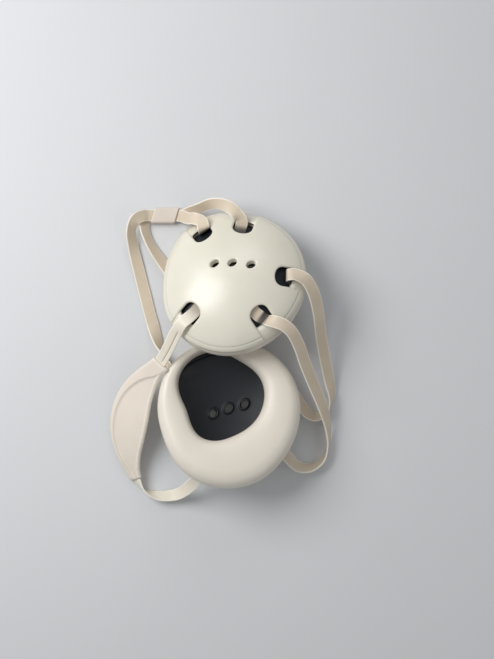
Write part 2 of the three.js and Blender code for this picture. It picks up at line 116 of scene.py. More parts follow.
# A strap from its end at a cup out over the rim: (share of the rim's radius, height, and the shares that it
# takes there of its dive into the slot, its arch over the rim and its shift along the slot). A through strap
# ends between the shell and the liner, a slanted one does so to one side, and a looped one comes back under
# the rim bar.
LEADS = {
    "through": (
        (0.39, 19.3, 0, 0, 0),
        (0.45, 18.5, 0, 0, 0),
        (0.54, 16.8, 0.15, 0, 0.2),
        (0.615, 15, 0.2, 0, 0.6),
        (0.685, 14.5, 0.5, 0, 1),
        (0.755, 14.3, 0.95, 0, 1),
        (0.825, 14.2, 0.75, 0.4, 1),
        (0.895, 13.5, 0, 1, 1),
        (0.96, 12, 0, 1, 1),
    ),
    "looped": (
        (0.916, 1.8, 0, 0, 1),
        (0.906, 4.4, 0, 0, 1),
        (0.876, 6.6, 0, 0, 1),
        (0.833, 8.5, 0, 0, 1),
        (0.788, 10.6, 0, 0, 1),
        (0.757, 13.2, 0, 0, 1),
        (0.765, 15.4, 0, 0.5, 1.05),
        (0.81, 15.2, 0, 0.8, 1.6),
        (0.87, 14, 0, 1, 2),
    ),
}
SLANTED_SHIFTS = (-1, -1, -1, -0.95, -0.5, 0.25, 1)
LEADS["slanted"] = [(*row[:4], shift) for row, shift in zip(LEADS["through"], SLANTED_SHIFTS)]

# Each strap: its slot, how it leaves the left cup, and how it arrives at the right one, both as (lead, rows
# of it, dive, arch, shift)
STRAP_ENDS = {
    "crown_strap_front": ("crown_front", ("looped", 9, 0, 3, -2.6), ("through", 9, 0, -1.3, 0)),
    "crown_strap_rear": ("crown_rear", ("through", 7, 2.6, 5, 2.3), ("through", 9, 0, -1.4, 0)),
    "rear_strap_upper": ("rear_upper", ("looped", 9, 0, 3, 0.6), ("through", 9, 0, -0.4, 0)),
    "rear_strap_lower": ("rear_lower", ("slanted", 7, 3.1, 3, 2.4), ("through", 9, 0, -1, 0)),
    "chin_strap": ("chin", ("through", 8, 0, 1, 1.5), ("through", 9, 0, -1.3, 0)),
}

# Rows (x, y, z, roll) of each strap's free stretch
STRAP_ROWS = {
    "crown_strap_front": (
        (-22.6, 105.6, 29.4, 0),
        (-26.8, 106.2, 22.8, 0),
        (-30, 107.6, 15.2, 0),
        (-33, 109.2, 8, 0),
        (-36.6, 110.1, 4.6, 0),
        (-40.5, 110.2, 4.3, 0),
        (-58, 110.2, 4.3, 0),
        (-61.4, 110.2, 5.1, 0),
        (-65.5, 109.6, 8.2, 6),
        (-71.2, 106.2, 11.4, 28),
        (-74.8, 98, 9.4, 46),
        (-74, 86, 5.2, 36),
        (-70, 69, 3, 18),
        (-63.8, 44, 1.6, 6),
        (-57.5, 20, 1.8, 8),
        (-52.5, 4, 4.8, 50),
        (-47.5, -8, 8.5, 110),
    ),
    "crown_strap_rear": (
        (11.8, 109.2, 35.2, 3),
        (8.3, 112.7, 35.2, 8),
        (4, 115.4, 34, 17),
        (-0.6, 117.1, 31.8, 27),
        (-5.6, 117.95, 28.2, 35),
        (-10.4, 117.85, 23.8, 41),
        (-14.6, 116.8, 19.4, 44),
        (-18.5, 115.6, 15.5, 44),
        (-25.5, 113.4, 6.8, 26),
        (-31, 111.1, 2.8, 5),
        (-36.2, 110.2, 2.2, 0),
        (-57.8, 110.2, 2.2, 0),
        (-61, 110, 2.2, 0),
        (-63.9, 106.6, 2.8, 16),
        (-64.3, 99.8, 4.6, 42),
        (-61.4, 90.5, 5.4, 50),
        (-56.5, 81.5, 5, 42),
        (-48.5, 70, 4, 30),
        (-34, 49, 3.9, 26),
        (-19, 30, 5.2, 75),
        (-8, 14.5, 7, 130),
    ),
    "rear_strap_upper": (
        (66, 56, 54, 4),
        (72.4, 46, 48, 10),
        (76.8, 31, 37.5, 18),
        (79.6, 12, 25, 22),
        (83.4, -7, 14.2, 20),
        (87.6, -26, 7, 26),
        (89.5, -40, 5.6, 62),
        (85.6, -50.5, 5.6, 100),
        (77.5, -55.4, 6, 130),
        (69, -51.5, 9.5, 155),
    ),
    "rear_strap_lower": (
        (42, 22.4, 63.5, 0),
        (48.5, 20, 63.5, 2),
        (54.8, 14.6, 60.5, 8),
        (60.8, 4, 53, 14),
        (66.4, -11, 42.5, 18),
        (74, -29, 30, 22),
        (82, -48, 18.4, 34),
        (86.5, -65, 9.4, 60),
        (86.5, -80.5, 5.8, 84),
        (81, -92, 5.6, 110),
        (71.5, -97, 6.4, 132),
        (61, -95, 13, 150),
    ),
    "chin_strap": (
        (-36, 14, 50, 0),
        (-42.5, 1.5, 44, -6),
        (-49.5, -10, 36.5, -14),
        (-59.5, -22, 28.5, -21),
        (-69.5, -37.5, 20.7, -27),
        (-75.5, -55, 15.4, -30),
        (-77.5, -73, 11.9, -30),
        (-76, -90, 8.9, -32),
        (-71, -106, 6.2, -46),
        (-63.5, -116.4, 5.4, -90),
        (-52, -120.4, 4.6, -136),
        (-38, -119, 6.5, -155),
        (-27.5, -112, 18, -168),
    ),
}

# Fineness of the meshes: spacing in millimetres, and numbers of points and steps
GRID = 2.2
GRID_RADIUS = 58
RIM_BAND = 9
RIM_BAND_START = 1.2
RIM_BAND_STEP = 0.9
RIM_BAND_END = 0.6
RIM_BAND_SHARE = 0.9
RIM_FACETS = 180
SLOT_POINTS = 84
VENT_POINTS = 40
EDGE_STEPS = 5
SHELL_GRID_CLEAR = 0.45
LINER_GRID_CLEAR = 0.9
PAD_FACETS = 160
PAD_STEPS = 5
STRAP_STEP = 1.3
CHIN_PAD_STEPS = 120
CHIN_PAD_SIDE_STEPS = 60
KEEPER_CORNER_STEPS = 9

# Marks of a sheet's points that lie in its grid or on its rim and not at a hole
IN_GRID = -1
ON_RIM = -2

# Rounded edges of the shell: radii of slots and vents, the small radius inside, and a margin past each
SLOT_EDGE = 1.7
VENT_EDGE = 1.3
EDGE_INNER = 0.6
EDGE_MARGIN = 0.8

# Rim bars: how far they lie below the dome and slope in, where they start to sink beyond a slot's middle,
# how far their sides reach past the slot's width and into it, and how much of its rounding they take away
BAR_RECESS = 1.3
BAR_SLOPE = 2.0
BAR_FROM = 4
BAR_SIDE_OUT = 0.45
BAR_SIDE_IN = 0.1
BAR_FLATNESS = 0.6

# Lines of points along the sides of a rim bar: places past the slot's half width, reach beyond the slot
BAR_LINES = (-0.5, -0.15, 0.1, 0.35, 0.6, 1.0)
BAR_LINES_FROM = 2.8
BAR_LINES_TO = 12
BAR_LINES_STEP = 0.7
BAR_LINES_SHARE = 0.992

# The crease above the shell's rim: depth, place and width as shares of the rim's radius, rings across it
RIM_GROOVE = 0.38
RIM_GROOVE_SHARE = 0.955
RIM_GROOVE_WIDTH = 0.006
RIM_GROOVE_HALF = 1.0
RIM_GROOVE_RINGS = 9
RIM_GROOVE_CLEAR = 1.2

# Rows of the shell's rim, (inset, height): down its outside, under it and up its inside
SHELL_RIM = (
    (0, 2.6),
    (0, 1.2),
    (0.1, 0.5),
    (0.45, 0.1),
    (1.0, 0),
    (SHELL_WALL - 0.6, 0),
    (SHELL_WALL - 0.15, 0.15),
    (SHELL_WALL, 0.6),
    (SHELL_WALL, 2),
)

# Rows of the liner's rim, in the same way
LINER_FOOT = LINER_INSET + LINER_WALL
LINER_RIM = (
    (LINER_INSET, 2),
    (LINER_INSET, 0.3),
    (LINER_INSET + 0.4, 0),
    (LINER_FOOT - 0.4, 0),
    (LINER_FOOT, 0.3),
    (LINER_FOOT, 2),
)

# A collar of the liner, from its bore out: (distance, share of the rise to the shell, share of its stand)
COLLAR_ROWS = (
    (0.0, 1.0, 0.7),
    (0.25, 1.0, 0.93),
    (0.6, 1.0, 1.0),
    (1.1, 1.0, 1.0),
    (1.5, 1.0, 0.85),
    (COLLAR_WALL, 0.9, 0.5),
    (2.0, 0.1, 0.2),
    (2.3, 0.0, 0.06),
    (3.0, 0.0, 0.0),
)

# Shares of the rim's radius between which the liner's side towards the shell turns pale
LINER_PALE_SHARES = (0.88, 0.93)

# The padded ring: the row of its section where the lip starts, and its seat on the rim as (across, depth)
PAD_LIP_ROW = 9
PAD_SEAT = ((0.2, 0.0), (0.5, 0.0), (0.8, 0.0), (0.97, 0.0), (0.995, 0.02))

# The straps: reach of their rounded sides as a share of the thickness, start and width of the pale cut edge,
# partly a painted highlight, from the middle of the width, and least height above the floor
STRAP_ROUND = 0.42
CUT_EDGE_HIGHLIGHT_FROM = 4.0
CUT_EDGE_HIGHLIGHT_WIDTH = 0.4
STRAP_CLEARANCE = 0.02

# The groove along a strap: its place, its rows as (share of the width, share of the depth), its depth, and
# the length in which it fades at its ends
GROOVE_AT = -0.13
GROOVE_ROWS = ((-0.045, 0), (-0.02, 0.6), (0, 1), (0.02, 0.6), (0.045, 0))
GROOVE_DEPTH = 0.4
GROOVE_FADE = 4

# The chin pad's fold line: (share of the pad's length, place across it as a share of its half width), how
# many rows smooth it to each side, and the width and depth of the line
CHIN_FOLD = (
    (0.0, -1.05),
    (0.07, -0.86),
    (0.19, 0.2),
    (0.3, 0.52),
    (0.42, 0.68),
    (0.64, 0.74),
    (0.8, 0.66),
    (0.92, 0.35),
    (1.0, -0.2),
)
CHIN_FOLD_ROWS = 6
CHIN_LINE_WIDTH = 0.4
CHIN_LINE_DEPTH = 0.45

# The chin pad along its length: power of its swell, thickness of its ends and of their mouths as shares,
# length of a mouth as a share, and the reach and length of the flare at its first end
CHIN_SWELL = 1.6
CHIN_END_SHARE = 0.75
CHIN_MOUTH_SHARE = 0.78
CHIN_MOUTH_LENGTH = 0.02
CHIN_FLARE = 2.4
CHIN_FLARE_LENGTH = 0.045

# The chin pad across its width: power of its crown, rounding of its edge, how far the panel sinks and over
# which stretch past the fold, the lip along its edge, and the stretch of worn tone along the other edge
CHIN_CROWN = 4
CHIN_ROUND = 1.5
CHIN_PANEL_SINK = 0.36
CHIN_PANEL_STEP = (-0.2, 1.6)
CHIN_LIP = 3.4
CHIN_LIP_SLOPE = 1.4
CHIN_LIP_RISE = 0.75
CHIN_WORN_STEP = (1.6, 0.2)
CHIN_CHANNEL_SPREAD = 1.25

# The keeper's rounded ends: (distance from the end, share of the wall that is cut away there), the same for
# its mouth as a share of that, the length of an end and the number of rings between the ends
KEEPER_END_ROWS = ((0.0, 0.5), (0.03, 0.3), (0.12, 0.12), (0.3, 0.03), (0.55, 0.0))
KEEPER_MOUTH = 0.4
KEEPER_END = 2
KEEPER_RINGS = 7


# Smooth step from 0 to 1 between two values
def smooth_step(low, high, value):
    t = np.clip((value - low) / (high - low), 0, 1)
    return t * t * (3 - 2 * t)


# Radius at angles in degrees, smoothly through evenly spaced radii all round
def outline_radius(radii, angle):
    radii = np.asarray(radii, float)
    place = np.mod(angle, 360) * len(radii) / 360
    row = np.floor(place).astype(int)
    t = place - row

    def at(shift):
        return radii[(row + shift) % len(radii)]

    rise = at(1) - at(0)
    bend = (at(1) - at(-1)) / 2 - rise
    unbend = rise - (at(2) - at(0)) / 2
    return at(0) + t * rise + t * (1 - t) * (bend * (1 - t) + unbend * t)


# Points of a dome whose surface is moved in by inset
def dome_points(share, angle, inset):
    reach = share * (outline_radius(RIM_RADII, angle) - inset)
    height = SKIRT_HEIGHT + (CROWN_HEIGHT - inset) * (1 - share**2) ** CROWN_FULLNESS
    turn = np.radians(angle)
    return np.stack([reach * np.cos(turn), reach * np.sin(turn), height], axis=-1)


# Length run to each point of a line
def run_lengths(line):
    return np.concatenate([[0.0], np.cumsum(np.linalg.norm(np.diff(line, axis=0), axis=1))])


# Share of the rim's radius and the length run to it from the apex, along the meridian at an angle
def meridian(angle):
    shares = np.sin(np.linspace(0, math.pi / 2, 900))
    return shares, run_lengths(dome_points(shares, np.full_like(shares, angle), 0.0))


# Outward unit normals of a closed outline
def outline_normals(outline):
    ahead = np.roll(outline, -1, axis=0) - np.roll(outline, 1, axis=0)
    normal = np.stack([ahead[:, 1], -ahead[:, 0]], axis=-1)
    return normal / np.linalg.norm(normal, axis=1, keepdims=True)


# A closed outline with evenly spaced points, and its outward normals
def even_outline(points, count):
    points = np.asarray(points, float)
    closed = np.vstack([points, points[:1]])
    run = run_lengths(closed)
    at = np.linspace(0, run[-1], count, endpoint=False)
    even = np.stack([np.interp(at, run, closed[:, k]) for k in (0, 1)], axis=-1)
    return even, outline_normals(even)


# Outline of a strap slot, (outward, along the rim): round at its inner end, straight along the bar
def slot_outline():
    half = SLOT_WIDTH / 2
    bar = SLOT_LENGTH / 2
    middle = half - bar
    turn = np.radians(np.linspace(90, 270, 40))
    points = [(middle + half * math.cos(a), half * math.sin(a)) for a in turn]
    for side in (-1, 1):
        ends = ((bar - SLOT_CORNER, side * half), (bar, side * half), (bar, side * (half - SLOT_CORNER)))
        corner = []
        for t in np.linspace(0, 1, 9):
            weights = ((1 - t) ** 2, 2 * t * (1 - t), t * t)
            corner.append(tuple(sum(w * e[k] for w, e in zip(weights, ends)) for k in (0, 1)))
        points += corner if side < 0 else corner[::-1]
    return even_outline(points, SLOT_POINTS)


# Outline of an oval vent about its middle, in plan
def vent_outline():
    turn = np.linspace(0, 2 * math.pi, 90, endpoint=False)
    tilt = math.radians(VENT_TURN)
    long = VENT_LENGTH / 2 * np.cos(turn)
    short = VENT_WIDTH / 2 * np.sin(turn)
    x = long * math.cos(tilt) - short * math.sin(tilt)
    y = long * math.sin(tilt) + short * math.cos(tilt)
    return even_outline(np.stack([x, y], axis=-1), VENT_POINTS)


# A slot's own coordinates (outward, along the rim) of points on a dome
def slot_coordinates(angle, share, turn):
    shares, run = meridian(angle)
    outward = np.interp(share, shares, run) - np.interp(SLOT_SHARE, shares, run)
    swing = np.mod(turn - angle + 180, 360) - 180
    return outward, np.radians(swing) * share * outline_radius(RIM_RADII, turn)


# Share and angle on a dome of points given in a slot's own coordinates
def on_dome(angle, outward, along):
    shares, run = meridian(angle)
    share = np.interp(np.interp(SLOT_SHARE, shares, run) + outward, run, shares)
    rim = outline_radius(RIM_RADII, np.full_like(share, angle))
    return share, angle + np.degrees(along / (share * rim))


# Distance of points outside an evenly pointed outline, negative inside
def outline_distance(outline, points):
    away = points[:, None, :] - outline[None, :, :]
    far = np.linalg.norm(away, axis=2)
    near = far.argmin(axis=1)
    normal = outline_normals(outline)[near]
    side = np.einsum("ij,ij->i", away[np.arange(len(points)), near], normal)
    return np.where(side < 0, -1, 1) * far.min(axis=1)


# Rings of grid points on a dome as (share, angle), finer in a band along the rim and across its crease
def dome_grid():
    shares, run = meridian(0)
    stops = list(np.arange(GRID / 2, run[-1] - RIM_BAND, GRID))
    stops += list(np.arange(stops[-1] + RIM_BAND_START, run[-1] - RIM_BAND_END, RIM_BAND_STEP))
    groove = np.interp(RIM_GROOVE_SHARE, shares, run)
    stops = [stop for stop in stops if abs(stop - groove) > RIM_GROOVE_CLEAR]
    stops += list(groove + np.linspace(-RIM_GROOVE_HALF, RIM_GROOVE_HALF, RIM_GROOVE_RINGS))
    rings = []
    for k, stop in enumerate(sorted(stops)):
        share = float(np.interp(stop, run, shares))
        count = max(8, round(2 * math.pi * share * GRID_RADIUS / GRID))
        if share > RIM_BAND_SHARE:
            count = RIM_FACETS
        angle = (np.arange(count) + 0.5 * (k % 2)) * 360 / count
        rings.append(np.stack([np.full(count, share), angle], axis=-1))
    return np.vstack(rings)


# Plan of points on the outside of a dome
def plan_of(share, angle):
    return dome_points(share, angle, 0.0)[:, :2]


# A sheet over a dome with holes, as plan triangles. A hole is a list of loops of (share, angle) points, the
# edge of the hole first, and the grid stays clear of its last loop. Returns share, angle, the hole and the
# loop of each point, the triangles, and the first point of each hole's edge and of the rim.
def dome_sheet(holes, clear, extra=()):
    spots = np.vstack([dome_grid(), *extra])
    plan = plan_of(spots[:, 0], spots[:, 1])
    keep = np.ones(len(spots), bool)
    for loops in holes:
        last = plan_of(loops[-1][:, 0], loops[-1][:, 1])
        keep &= outline_distance(last, plan) > clear
    spots = spots[keep]
    hole_of = np.full(len(spots), IN_GRID)
    loop_of = np.full(len(spots), IN_GRID)
    rim = np.stack([np.ones(RIM_FACETS), np.arange(RIM_FACETS) * 360 / RIM_FACETS], axis=-1)
    edges = []
    starts = []
    for hole, loops in [*enumerate(holes), (ON_RIM, [rim])]:
        for k, loop in enumerate(loops):
            first = len(spots)
            if k == 0:
                starts.append(first)
                edges += [(first + i, first + (i + 1) % len(loop)) for i in range(len(loop))]
            spots = np.vstack([spots, loop])
            hole_of = np.concatenate([hole_of, np.full(len(loop), hole)])
            loop_of = np.concatenate([loop_of, np.full(len(loop), k)])
    *starts, rim_start = starts
    plan = plan_of(spots[:, 0], spots[:, 1])
    _, _, faces, origins, _, _ = delaunay_2d_cdt([Vector(p) for p in plan], edges, [], 0, 1e-6)
    triangles = []
    for face in faces:
        corners = [origins[v][0] for v in face]
        all_on_edges = all(loop_of[v] == 0 for v in corners)
        if all_on_edges and len({int(hole_of[v]) for v in corners}) == 1:
            continue
        triangles.append(corners)
    return spots[:, 0], spots[:, 1], hole_of, loop_of, triangles, starts, rim_start


# Quarter-round steps of a moulded edge and one past it: (distance from the edge, drop of the surface there)
def edge_steps(radius):
    steps = []
    for k in range(EDGE_STEPS + 1):
        turn = math.pi / 2 * k / EDGE_STEPS
        steps.append((radius * (1 - math.cos(turn)), radius * (1 - math.sin(turn))))
    return [*steps, (steps[-1][0] + EDGE_MARGIN, 0.0)]


# A closed wall from a sheet: the outer and inner surfaces, the walls of its holes and its rim
def close_wall(sheet, outer, inner, holes, rim_rows):
    share, angle, _, _, triangles, starts, rim_start = sheet
    count = len(share)
    points = [outer, inner]
    faces = [tuple(t) for t in triangles]
    faces += [tuple(count + v for v in reversed(t)) for t in triangles]
    for start, loops in zip(starts, holes):
        size = len(loops[0])
        for i in range(size):
            a = start + i
            b = start + (i + 1) % size
            faces.append((a, b, count + b, count + a))
    rows = [rim_start + np.arange(RIM_FACETS)]
    total = 2 * count
    for inset, height in rim_rows:
        ring = dome_points(np.ones(RIM_FACETS), angle[rim_start:rim_start + RIM_FACETS], inset)
        ring[:, 2] = height
        points.append(ring)
        rows.append(total + np.arange(RIM_FACETS))
        total += RIM_FACETS
    rows.append(count + rim_start + np.arange(RIM_FACETS))
    for above, below in zip(rows, rows[1:]):
        for i in range(RIM_FACETS):
            j = (i + 1) % RIM_FACETS
            faces.append((int(above[i]), int(below[i]), int(below[j]), int(above[j])))
    return np.vstack(points), faces


# Share and angle on a dome of plan points, whose rim is moved in by inset
def share_of_plan(spot, inset):
    turn = np.degrees(np.arctan2(spot[:, 1], spot[:, 0]))
    return np.stack([np.hypot(*spot.T) / (outline_radius(RIM_RADII, turn) - inset), turn], axis=-1)


# Slots in a dome, as holes for its sheet, with a loop at each distance from the slot's outline
def slot_holes(distances):
    outline, normal = slot_outline()
    loops = [outline + distance * normal for distance in distances]
    holes = []
    for angle in SLOT_ANGLES.values():
        holes.append([np.stack(on_dome(angle, loop[:, 0], loop[:, 1]), axis=-1) for loop in loops])
    return holes


# Vents in a dome whose rim is moved in by inset, in the same way
def vent_holes(distances, inset):
    outline, normal = vent_outline()
    loops = [outline + distance * normal for distance in distances]
    return [[share_of_plan(loop + np.array(vent), inset) for loop in loops] for vent in VENTS]


# Lines of points along both sides of each rim bar, which keep its sides crisp
def bar_lines():
    bar = SLOT_LENGTH / 2
    outward = np.arange(bar + BAR_LINES_FROM, bar + BAR_LINES_TO, BAR_LINES_STEP)
    lines = []
    for angle in SLOT_ANGLES.values():
        for along in SLOT_WIDTH / 2 + np.array(BAR_LINES):
            for side in (-1, 1):
                share, turn = on_dome(angle, outward, np.full_like(outward, side * along))
                lines.append(np.stack([share, turn], axis=-1)[share < BAR_LINES_SHARE])
    return lines


# A mark's values at all points of a mesh: those given for its first points, and 0 for the rest
def fill_mark(points, *given):
    values = np.concatenate(given)
    return np.concatenate([values, np.zeros(len(points) - len(values))])


# The moulded shell with rounded slots and vents, a crease above its rim, and rim bars set below the dome
def shell_mesh():
    rounds = np.array([edge_steps(SLOT_EDGE), edge_steps(VENT_EDGE)])
    slot_distances, vent_distances = rounds[:, :, 0]
    holes = slot_holes(slot_distances) + vent_holes(vent_distances, 0.0)
    sheet = dome_sheet(holes, SHELL_GRID_CLEAR, bar_lines())
    share, angle, hole_of, loop_of = sheet[:4]
    last = len(slot_distances) - 1
    at_edge = np.where(hole_of >= 0, loop_of, last)
    is_vent = (hole_of >= len(SLOT_ANGLES)).astype(int)
    distance, drop = rounds[is_vent, at_edge].T
    half = SLOT_WIDTH / 2
    bar = SLOT_LENGTH / 2
    recess = np.zeros(len(share))
    for slot in SLOT_ANGLES.values():
        outward, along = slot_coordinates(slot, share, angle)
        side = smooth_step(half + BAR_SIDE_OUT, half - BAR_SIDE_IN, np.abs(along))
        recess = np.maximum(recess, side * smooth_step(BAR_FROM, bar, outward))
    groove = np.exp(-(((share - RIM_GROOVE_SHARE) / RIM_GROOVE_WIDTH) ** 2)) * (1 - recess)
    outer_inset = drop * (1 - BAR_FLATNESS * recess) + BAR_RECESS * recess + RIM_GROOVE * groove
    turned_in = 1 - np.clip(distance / EDGE_INNER, 0, 1)
    inner_inset = SHELL_WALL - EDGE_INNER * (1 - np.sqrt(1 - turned_in**2))
    outer = dome_points(share, angle, outer_inset)
    inner = dome_points(share, angle, inner_inset)
    for hole, slot in enumerate(SLOT_ANGLES.values()):
        ours = hole_of == hole
        outward, along = slot_coordinates(slot, share[ours], angle[ours])
        slope = BAR_SLOPE * smooth_step(BAR_FROM, bar, outward) * (1 - loop_of[ours] / last)
        sloped = on_dome(slot, outward - slope, along)
        inner[ours] = dome_points(*sloped, inner_inset[ours])
    points, faces = close_wall(sheet, outer, inner, holes, SHELL_RIM)
    edge = 1 - at_edge / last
    # The groove's mark is painted shade that darkens the crease above the rim
    return points, faces, {"edge": fill_mark(points, edge, edge), "crease": fill_mark(points, groove)}


# The dark liner, with collars round the vents that reach up to the shell and stand into the cup. Its side
# towards the shell is pale near the rim, and so are the bores of its collars.
def liner_mesh():
    rows = np.array(COLLAR_ROWS)
    top = SHELL_WALL + SEAT_GAP
    holes = vent_holes(rows[:, 0], top)
    sheet = dome_sheet(holes, LINER_GRID_CLEAR)
    share, angle, hole_of, loop_of = sheet[:4]
    last = len(rows) - 1
    at_edge = np.where(hole_of >= 0, loop_of, last)
    rise, stand = rows[at_edge, 1:].T
    outer = dome_points(share, angle, LINER_INSET - (LINER_INSET - top) * rise)
    inner = dome_points(share, angle, LINER_FOOT + COLLAR_STAND * stand)
    points, faces = close_wall(sheet, outer, inner, holes, LINER_RIM)
    edge = 1 - at_edge / last
    pale = np.where(at_edge == 0, 1, smooth_step(*LINER_PALE_SHARES, share))
    return points, faces, {"edge": fill_mark(points, edge, edge), "pale": fill_mark(points, pale)}


# Points of an open smooth line through rows, with a number of steps in each span
def smooth_line(rows, steps):
    rows = np.asarray(rows, float)
    ends = np.vstack([2 * rows[0] - rows[1], rows, 2 * rows[-1] - rows[-2]])
    line = []
    for k in range(len(rows) - 1):
        p0, p1, p2, p3 = ends[k:k + 4]
        for t in np.arange(steps) / steps:
            a = 2 * p1 + (p2 - p0) * t
            b = (2 * p0 - 5 * p1 + 4 * p2 - p3) * t * t
            c = (3 * p1 - p0 - 3 * p2 + p3) * t**3
            line.append((a + b + c) / 2)
    line.append(rows[-1])
    return np.array(line)


# Faces of a tube whose rings follow each other, each of the same number of points
def ring_faces(rings, size, closed):
    faces = []
    for k in range(rings if closed else rings - 1):
        a = k * size
        b = (k + 1) % rings * size
        for i in range(size):
            j = (i + 1) % size
            faces.append((a + i, a + j, b + j, b + i))
    return faces


# The padded ring round the ear opening
def pad_mesh():
    body = smooth_line(PAD_SECTION[:PAD_LIP_ROW + 1], PAD_STEPS)[1:]
    lip = smooth_line(PAD_SECTION[PAD_LIP_ROW:], PAD_STEPS)[1:]
    section = np.vstack([body, lip, PAD_SEAT])
    rings = []
    for angle in np.arange(PAD_FACETS) * 360 / PAD_FACETS:
        turn = math.radians(angle)
        way = np.array([math.cos(turn), math.sin(turn)])
        outer = way * outline_radius(RIM_RADII, angle)
        inner = way * outline_radius(EAR_RADII, angle) + EAR_MIDDLE
        spot = inner + section[:, :1] * (outer - inner)
        rings.append(np.column_stack([spot, -SEAT_GAP - section[:, 1] * PAD_DEPTH]))
    return np.vstack(rings), ring_faces(PAD_FACETS, len(section), True)


# A cup's frame as it lies. The right cup mirrors the left one and shows its hollow side.
def cup_frame(side):
    pose = CUP_POSES[side]
    lift = math.sqrt(1 - pose["lean_x"] ** 2 - pose["lean_y"] ** 2)
    axis = Vector((pose["lean_x"], pose["lean_y"], lift))
    lean = Vector((0, 0, 1)).rotation_difference(axis).to_matrix()
    turn = lean @ Matrix.Rotation(math.radians(pose["turn"]), 3, "Z")
    if side == "right":
        turn = turn @ Matrix.Diagonal((1, 1, -1))
    return np.array(turn), np.array([pose["x"], pose["y"], pose["z"]])


CUPS = {side: cup_frame(side) for side in CUP_POSES}


# Points of a cup where it lies
def in_cup(side, points):
    turn, middle = CUPS[side]
    return points @ turn.T + middle


# Points of a smooth line through stations, at parameters from 0 to 1, with no loops where they lie unevenly
def curve_points(stations, t):
    count = len(stations)
    place = np.clip(t, 0, 1) * (count - 1)
    row = np.minimum(place.astype(int), count - 2)
    w = (place - row)[:, None]
    ends = np.vstack([2 * stations[0] - stations[1], stations, 2 * stations[-1] - stations[-2]])
    p0, p1, p2, p3 = (ends[row + k] for k in range(4))
    spans = ((p0, p1), (p1, p2), (p2, p3))
    d0, d1, d2 = (np.sqrt(np.linalg.norm(b - a, axis=1))[:, None] for a, b in spans)
    m1 = ((p1 - p0) / d0 - (p2 - p0) / (d0 + d1) + (p2 - p1) / d1) * d1
    m2 = ((p2 - p1) / d1 - (p3 - p1) / (d1 + d2) + (p3 - p2) / d2) * d1
    return p1 + m1 * w + (3 * (p2 - p1) - 2 * m1 - m2) * w**2 + (2 * (p1 - p2) + m1 + m2) * w**3


# Directions of that line
def curve_directions(stations, t):
    step = 1e-4
    ahead = curve_points(stations, np.minimum(t + step, 1)) - curve_points(stations, np.maximum(t - step, 0))
    return ahead / np.linalg.norm(ahead, axis=1, keepdims=True)


# Turns vectors about unit axes by an angle in radians for each
def turned(vectors, axes, angles):
    c = np.cos(angles)[:, None]
    s = np.sin(angles)[:, None]
    along = np.sum(vectors * axes, axis=1, keepdims=True)
    return vectors * c + np.cross(axes, vectors) * s + axes * along * (1 - c)


# Stations of a strap from its end at a cup out over the rim, and the direction of its width there
def lead_stations(side, slot, lead, rows, dive, arch, shift):
    turn = math.radians(SLOT_ANGLES[slot])
    rim = float(outline_radius(RIM_RADII, np.array(float(SLOT_ANGLES[slot]))))
    share, up, sink, bow, aside = np.array(LEADS[lead][:rows], float).T
    outward = np.array([math.cos(turn), math.sin(turn), 0])
    sideways = np.array([-math.sin(turn), math.cos(turn), 0])
    spots = np.outer(share * rim, outward) + np.outer(aside * shift, sideways)
    spots[:, 2] = up - sink * dive + bow * arch
    return in_cup(side, spots), np.tile(-CUPS[side][0] @ sideways, (rows, 1))


# A strap's stations and the direction of its width at each
def strap_line(name):
    slot, leaves, arrives = STRAP_ENDS[name]
    leave, leave_width = lead_stations("left", slot, *leaves)
    arrive, arrive_width = lead_stations("right", slot, *arrives)
    rows = np.array(STRAP_ROWS[name], float)
    stations = np.vstack([leave, rows[:, :3], arrive[::-1]])
    count = len(stations)
    free = slice(len(leave), len(leave) + len(rows))
    along = curve_directions(stations, np.arange(count) / (count - 1))[free]
    flat = np.cross(along, (0, 0, 1))
    flat /= np.linalg.norm(flat, axis=1, keepdims=True)
    widths = np.vstack([leave_width, turned(flat, along, -np.radians(rows[:, 3])), arrive_width])
    return stations, widths, len(leave)


# Place, width direction and face direction at parameters of a strap's line
def strap_frames(stations, widths, t):
    place = t * (len(stations) - 1)
    row = np.minimum(place.astype(int), len(stations) - 2)
    w = (place - row)[:, None]
    along = curve_directions(stations, t)
    across = widths[row] * (1 - w) + widths[row + 1] * w
    across -= along * np.sum(across * along, axis=1, keepdims=True)
    across /= np.linalg.norm(across, axis=1, keepdims=True)
    return curve_points(stations, t), across, np.cross(across, along)


# Parameters at even lengths along a strap's line, and those lengths
def even_parameters(stations, step):
    t = np.linspace(0, 1, 4000)
    run = run_lengths(curve_points(stations, t))
    at = np.linspace(0, run[-1], round(run[-1] / step) + 1)
    return np.interp(at, run, t), at


# Section of a strap with rounded edges, (width, thickness) in shares, and how much of the groove each takes
def band_section():
    edge = STRAP_ROUND * STRAP_THICKNESS / STRAP_WIDTH
    flat = 0.5 - edge
    face = [(w, 0.5, 0) for w in (-flat, -0.4, -0.29)]
    face += [(GROOVE_AT + w, 0.5, depth) for w, depth in GROOVE_ROWS]
    face += [(w, 0.5, 0) for w in (0.05, 0.16, 0.28, 0.4, flat)]
    side = [(flat + edge * math.cos(a), 0.5 * math.sin(a), 0) for a in np.radians((60, 30, 0, -30, -60))]
    back = [(w, -0.5, 0) for w in (flat, 0.4, 0.2, 0.0, -0.2, -0.4, -flat)]
    return np.array(face + side + back + [(-w, -t, 0) for w, t, _ in side])
